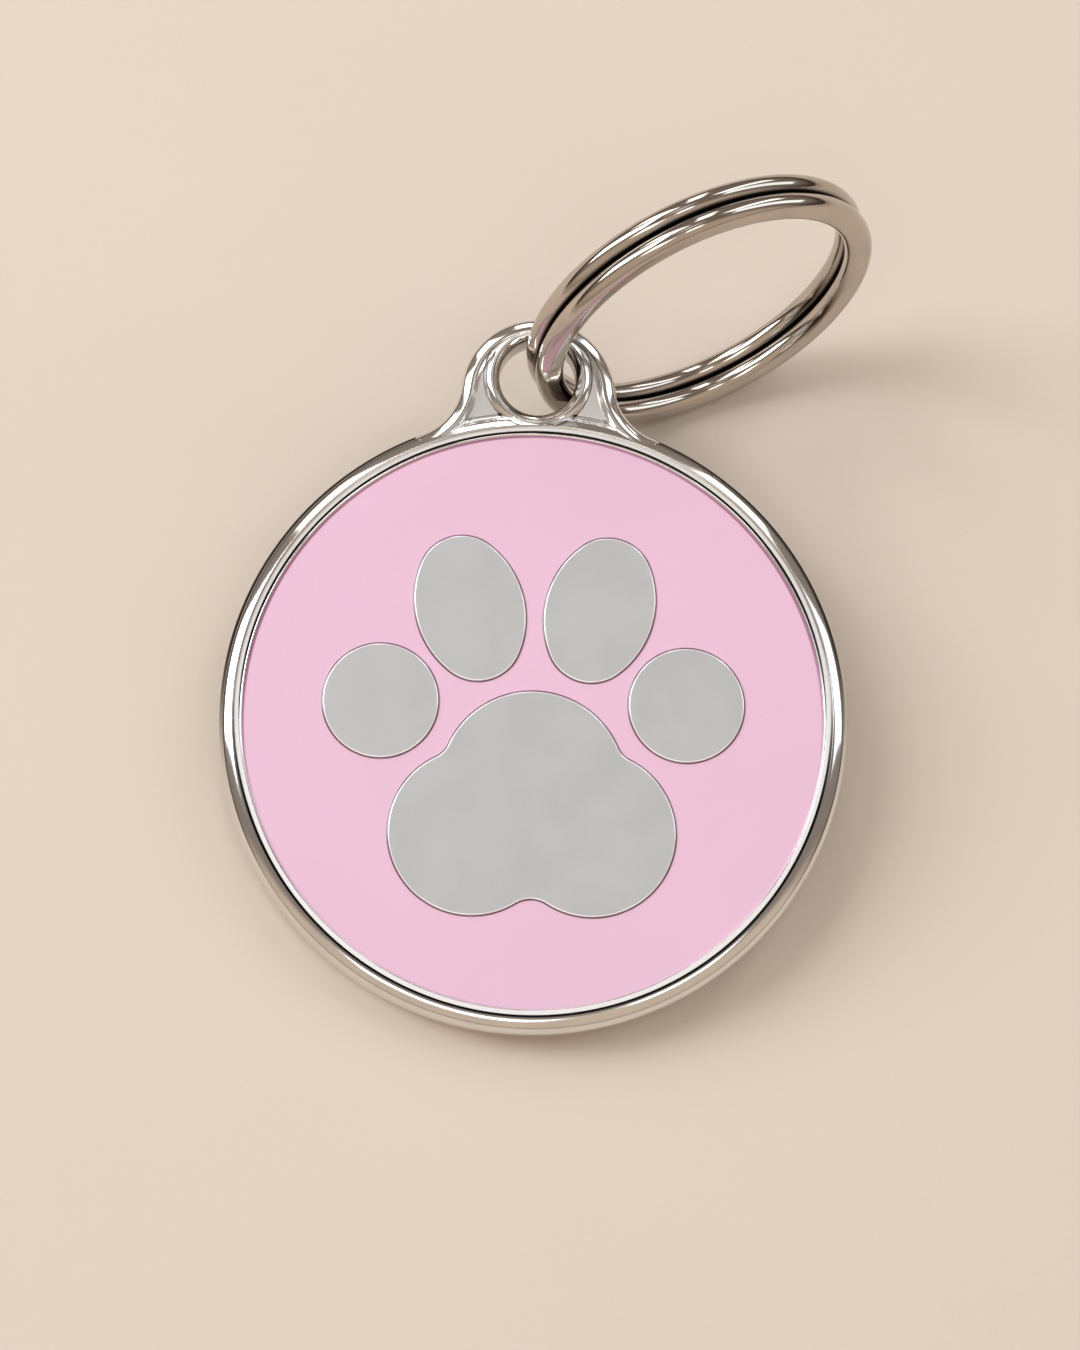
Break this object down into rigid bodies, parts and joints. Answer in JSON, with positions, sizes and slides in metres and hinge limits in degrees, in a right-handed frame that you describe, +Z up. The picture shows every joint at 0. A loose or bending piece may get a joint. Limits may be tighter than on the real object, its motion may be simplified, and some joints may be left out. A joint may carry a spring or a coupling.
{
  "type": "pet id tag",
  "caption": "Round pet id tag with a bead rim, an eye at the top, an enamel field with a paw of metal pads, and a split ring through the eye for a collar.",
  "frame": {"origin": "middle of the object's box on the surface that it lies on", "axes": "+Z up from that surface; +Y from the tag's low edge towards its eye and ring; +X to the right of the paw seen from above"},
  "size_m": [0.031, 0.0392, 0.0178],
  "materials": {
    "polished_metal": "mirror polished nickel-plated casting",
    "pink_enamel": "glossy pink enamel fill",
    "satin_metal": "fine satin",
    "ring_wire": "polished nickel-plated spring wire"
  },
  "bodies": {
    "tag": {"tag_body": "polished_metal", "enamel_field": "pink_enamel", "main_pad": "satin_metal", "inner_left_toe": "satin_metal", "inner_right_toe": "satin_metal", "outer_left_toe": "satin_metal", "outer_right_toe": "satin_metal"},
    "ring": {"split_ring": "ring_wire"}
  },
  "joints": [
    {"name": "ring_swing", "type": "hinge", "parent": "tag", "child": "ring", "pos_m": [-0.0006, 0.01184, 0.00648], "axis": [-0.0732, -0.1644, 0.9837], "range_deg": [-45, 170]}
  ]
}
